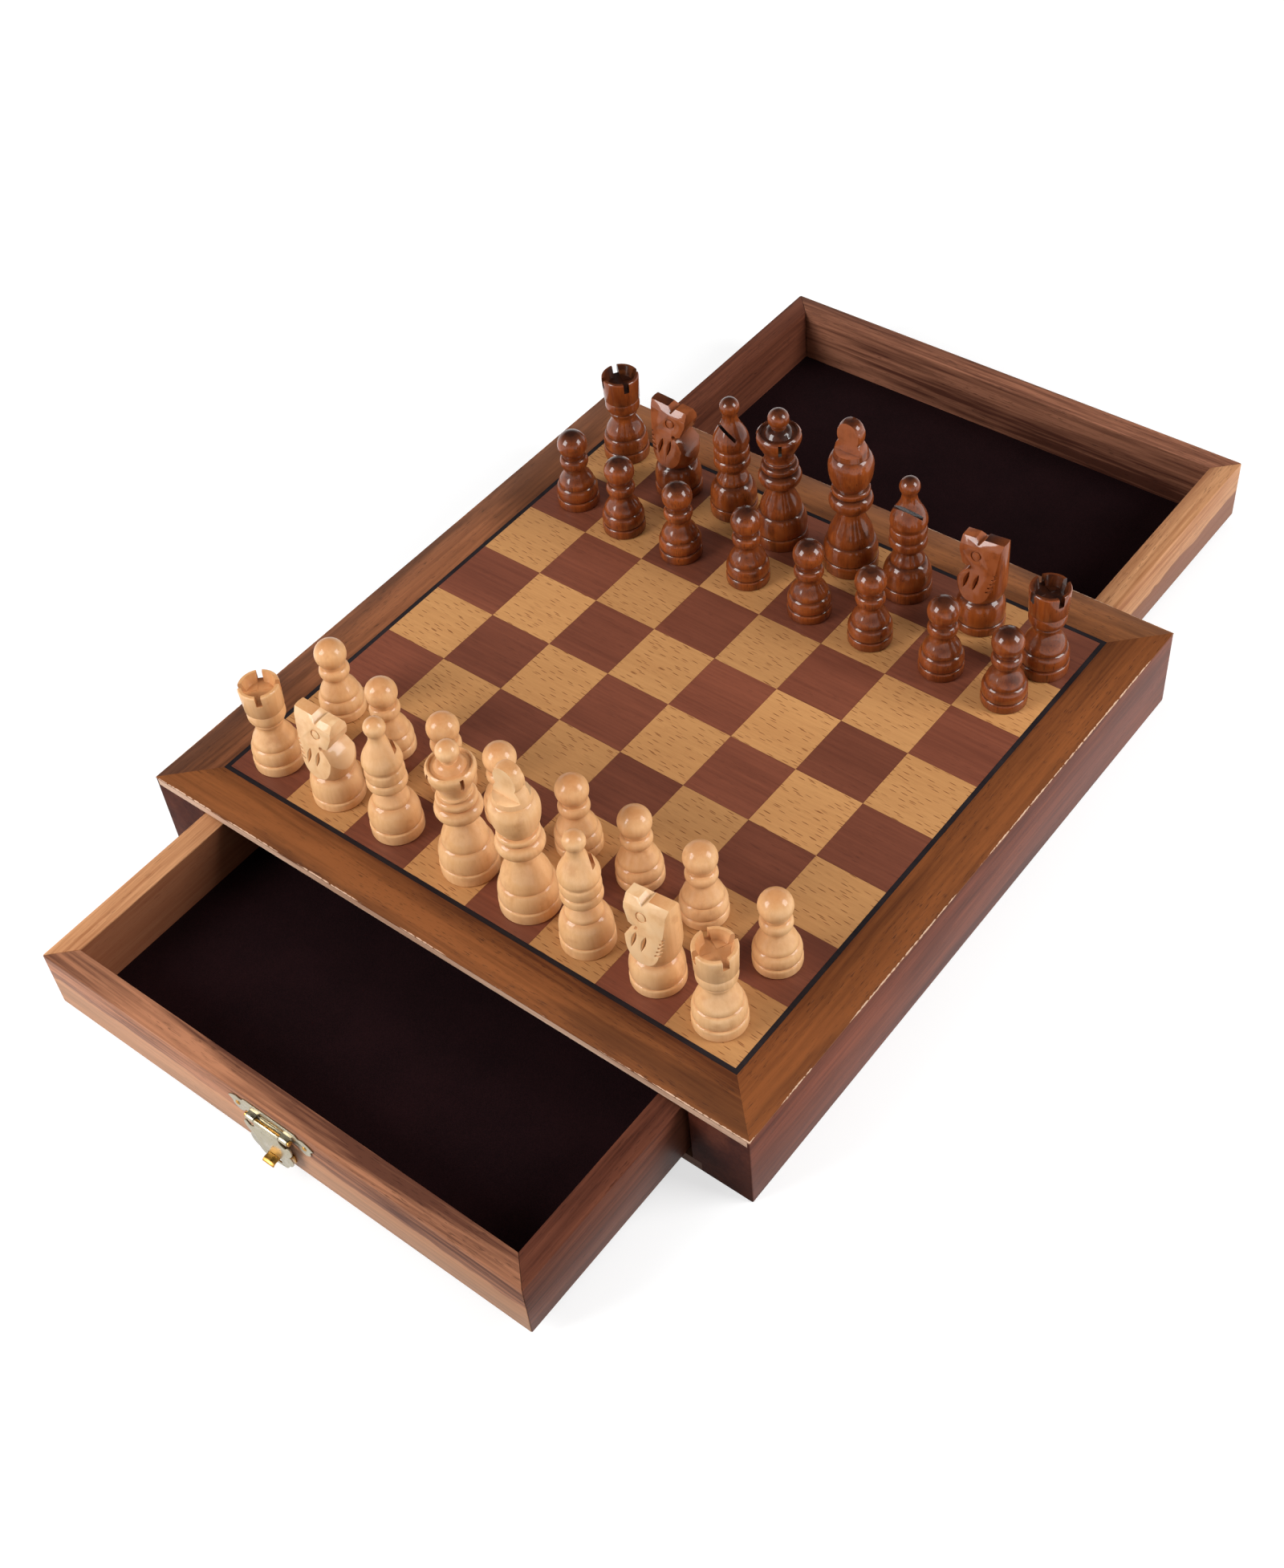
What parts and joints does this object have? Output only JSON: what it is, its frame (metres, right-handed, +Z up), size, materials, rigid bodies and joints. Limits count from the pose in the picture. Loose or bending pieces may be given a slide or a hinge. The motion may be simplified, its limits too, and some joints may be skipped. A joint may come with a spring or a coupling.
{
  "type": "chess box with drawers",
  "caption": "Square wooden chess box: an inlaid board over a drawer at front and rear, each felt-lined with a hinged hasp, and a set of turned men standing on it.",
  "frame": {"origin": "middle of the case's underside, on the surface it stands on", "axes": "+Z up; -Y towards the white side, where the front drawer opens; +X to that player's right"},
  "size_m": [0.3, 0.5198, 0.117],
  "materials": {
    "beech_veneer": "satin beech veneer with short dark flecks, running across the board",
    "mahogany_veneer": "satin mahogany veneer with fine streaks",
    "walnut_veneer": "satin walnut veneer, mitred at the corners",
    "dark_inlay": "black-dyed stringing, flush",
    "plywood_panel": "pale raw edge",
    "case_wood": "satin brown-mauve hardwood",
    "drawer_face_wood": "satin banded hardwood",
    "drawer_wood": "satin brown hardwood with paler sapwood",
    "felt": "short dark pile",
    "nickelled_sheet": "pale nickel-plated sheet, a little worn",
    "brass_nails": "bright brass",
    "light_men": "lacquered pale boxwood",
    "dark_men": "lacquered red-brown wood, darker in the grooves"
  },
  "bodies": {
    "case": {"top_panel": "plywood_panel", "light_squares": "beech_veneer", "dark_squares": "mahogany_veneer", "stringing": "dark_inlay", "border_veneer": "walnut_veneer", "side_walls": "case_wood", "bottom_panel": "case_wood", "centre_divider": "case_wood"},
    "front_drawer": {"front_drawer_front": "drawer_face_wood", "front_drawer_back": "drawer_wood", "front_drawer_sides": "drawer_wood", "front_drawer_bottom": "drawer_wood", "front_drawer_felt": "felt", "front_clasp_plate": "nickelled_sheet", "front_clasp_nails": "brass_nails", "front_clasp_pin": "brass_nails", "front_clasp_catch": "brass_nails"},
    "front_hasp": {"front_hasp": "nickelled_sheet"},
    "rear_drawer": {"rear_drawer_front": "drawer_face_wood", "rear_drawer_back": "drawer_wood", "rear_drawer_sides": "drawer_wood", "rear_drawer_bottom": "drawer_wood", "rear_drawer_felt": "felt", "rear_clasp_plate": "nickelled_sheet", "rear_clasp_nails": "brass_nails", "rear_clasp_pin": "brass_nails", "rear_clasp_catch": "brass_nails"},
    "rear_hasp": {"rear_hasp": "nickelled_sheet"},
    "white_rook_a": {"white_rook_a": "light_men"},
    "white_knight_b": {"white_knight_b": "light_men"},
    "white_bishop_c": {"white_bishop_c": "light_men"},
    "white_queen": {"white_queen": "light_men"},
    "white_king": {"white_king": "light_men"},
    "white_bishop_f": {"white_bishop_f": "light_men"},
    "white_knight_g": {"white_knight_g": "light_men"},
    "white_rook_h": {"white_rook_h": "light_men"},
    "white_pawn_a": {"white_pawn_a": "light_men"},
    "white_pawn_b": {"white_pawn_b": "light_men"},
    "white_pawn_c": {"white_pawn_c": "light_men"},
    "white_pawn_d": {"white_pawn_d": "light_men"},
    "white_pawn_e": {"white_pawn_e": "light_men"},
    "white_pawn_f": {"white_pawn_f": "light_men"},
    "white_pawn_g": {"white_pawn_g": "light_men"},
    "white_pawn_h": {"white_pawn_h": "light_men"},
    "black_rook_a": {"black_rook_a": "dark_men"},
    "black_knight_b": {"black_knight_b": "dark_men"},
    "black_bishop_c": {"black_bishop_c": "dark_men"},
    "black_queen": {"black_queen": "dark_men"},
    "black_king": {"black_king": "dark_men"},
    "black_bishop_f": {"black_bishop_f": "dark_men"},
    "black_knight_g": {"black_knight_g": "dark_men"},
    "black_rook_h": {"black_rook_h": "dark_men"},
    "black_pawn_a": {"black_pawn_a": "dark_men"},
    "black_pawn_b": {"black_pawn_b": "dark_men"},
    "black_pawn_c": {"black_pawn_c": "dark_men"},
    "black_pawn_d": {"black_pawn_d": "dark_men"},
    "black_pawn_e": {"black_pawn_e": "dark_men"},
    "black_pawn_f": {"black_pawn_f": "dark_men"},
    "black_pawn_g": {"black_pawn_g": "dark_men"},
    "black_pawn_h": {"black_pawn_h": "dark_men"}
  },
  "joints": [
    {"name": "front_drawer_slide", "type": "slide", "parent": "case", "child": "front_drawer", "axis": [0, 1, 0], "range_m": [-0.038, 0.087]},
    {"name": "rear_drawer_slide", "type": "slide", "parent": "case", "child": "rear_drawer", "axis": [0, -1, 0], "range_m": [-0.007, 0.118]},
    {"name": "front_hasp_hinge", "type": "hinge", "parent": "front_drawer", "child": "front_hasp", "pos_m": [0.0006, -0.23915, 0.0276], "axis": [-1, 0, 0], "range_deg": [0, 150]},
    {"name": "rear_hasp_hinge", "type": "hinge", "parent": "rear_drawer", "child": "rear_hasp", "pos_m": [-0.0018, 0.27015, 0.0276], "axis": [1, 0, 0], "range_deg": [0, 150]},
    {"name": "white_rook_a_lift", "type": "slide", "parent": "case", "child": "white_rook_a", "axis": [0, 0, 1], "range_m": [0, 0.09]},
    {"name": "white_knight_b_lift", "type": "slide", "parent": "case", "child": "white_knight_b", "axis": [0, 0, 1], "range_m": [0, 0.09]},
    {"name": "white_bishop_c_lift", "type": "slide", "parent": "case", "child": "white_bishop_c", "axis": [0, 0, 1], "range_m": [0, 0.09]},
    {"name": "white_queen_lift", "type": "slide", "parent": "case", "child": "white_queen", "axis": [0, 0, 1], "range_m": [0, 0.09]},
    {"name": "white_king_lift", "type": "slide", "parent": "case", "child": "white_king", "axis": [0, 0, 1], "range_m": [0, 0.09]},
    {"name": "white_bishop_f_lift", "type": "slide", "parent": "case", "child": "white_bishop_f", "axis": [0, 0, 1], "range_m": [0, 0.09]},
    {"name": "white_knight_g_lift", "type": "slide", "parent": "case", "child": "white_knight_g", "axis": [0, 0, 1], "range_m": [0, 0.09]},
    {"name": "white_rook_h_lift", "type": "slide", "parent": "case", "child": "white_rook_h", "axis": [0, 0, 1], "range_m": [0, 0.09]},
    {"name": "white_pawn_a_lift", "type": "slide", "parent": "case", "child": "white_pawn_a", "axis": [0, 0, 1], "range_m": [0, 0.09]},
    {"name": "white_pawn_b_lift", "type": "slide", "parent": "case", "child": "white_pawn_b", "axis": [0, 0, 1], "range_m": [0, 0.09]},
    {"name": "white_pawn_c_lift", "type": "slide", "parent": "case", "child": "white_pawn_c", "axis": [0, 0, 1], "range_m": [0, 0.09]},
    {"name": "white_pawn_d_lift", "type": "slide", "parent": "case", "child": "white_pawn_d", "axis": [0, 0, 1], "range_m": [0, 0.09]},
    {"name": "white_pawn_e_lift", "type": "slide", "parent": "case", "child": "white_pawn_e", "axis": [0, 0, 1], "range_m": [0, 0.09]},
    {"name": "white_pawn_f_lift", "type": "slide", "parent": "case", "child": "white_pawn_f", "axis": [0, 0, 1], "range_m": [0, 0.09]},
    {"name": "white_pawn_g_lift", "type": "slide", "parent": "case", "child": "white_pawn_g", "axis": [0, 0, 1], "range_m": [0, 0.09]},
    {"name": "white_pawn_h_lift", "type": "slide", "parent": "case", "child": "white_pawn_h", "axis": [0, 0, 1], "range_m": [0, 0.09]},
    {"name": "black_rook_a_lift", "type": "slide", "parent": "case", "child": "black_rook_a", "axis": [0, 0, 1], "range_m": [0, 0.09]},
    {"name": "black_knight_b_lift", "type": "slide", "parent": "case", "child": "black_knight_b", "axis": [0, 0, 1], "range_m": [0, 0.09]},
    {"name": "black_bishop_c_lift", "type": "slide", "parent": "case", "child": "black_bishop_c", "axis": [0, 0, 1], "range_m": [0, 0.09]},
    {"name": "black_queen_lift", "type": "slide", "parent": "case", "child": "black_queen", "axis": [0, 0, 1], "range_m": [0, 0.09]},
    {"name": "black_king_lift", "type": "slide", "parent": "case", "child": "black_king", "axis": [0, 0, 1], "range_m": [0, 0.09]},
    {"name": "black_bishop_f_lift", "type": "slide", "parent": "case", "child": "black_bishop_f", "axis": [0, 0, 1], "range_m": [0, 0.09]},
    {"name": "black_knight_g_lift", "type": "slide", "parent": "case", "child": "black_knight_g", "axis": [0, 0, 1], "range_m": [0, 0.09]},
    {"name": "black_rook_h_lift", "type": "slide", "parent": "case", "child": "black_rook_h", "axis": [0, 0, 1], "range_m": [0, 0.09]},
    {"name": "black_pawn_a_lift", "type": "slide", "parent": "case", "child": "black_pawn_a", "axis": [0, 0, 1], "range_m": [0, 0.09]},
    {"name": "black_pawn_b_lift", "type": "slide", "parent": "case", "child": "black_pawn_b", "axis": [0, 0, 1], "range_m": [0, 0.09]},
    {"name": "black_pawn_c_lift", "type": "slide", "parent": "case", "child": "black_pawn_c", "axis": [0, 0, 1], "range_m": [0, 0.09]},
    {"name": "black_pawn_d_lift", "type": "slide", "parent": "case", "child": "black_pawn_d", "axis": [0, 0, 1], "range_m": [0, 0.09]},
    {"name": "black_pawn_e_lift", "type": "slide", "parent": "case", "child": "black_pawn_e", "axis": [0, 0, 1], "range_m": [0, 0.09]},
    {"name": "black_pawn_f_lift", "type": "slide", "parent": "case", "child": "black_pawn_f", "axis": [0, 0, 1], "range_m": [0, 0.09]},
    {"name": "black_pawn_g_lift", "type": "slide", "parent": "case", "child": "black_pawn_g", "axis": [0, 0, 1], "range_m": [0, 0.09]},
    {"name": "black_pawn_h_lift", "type": "slide", "parent": "case", "child": "black_pawn_h", "axis": [0, 0, 1], "range_m": [0, 0.09]}
  ]
}
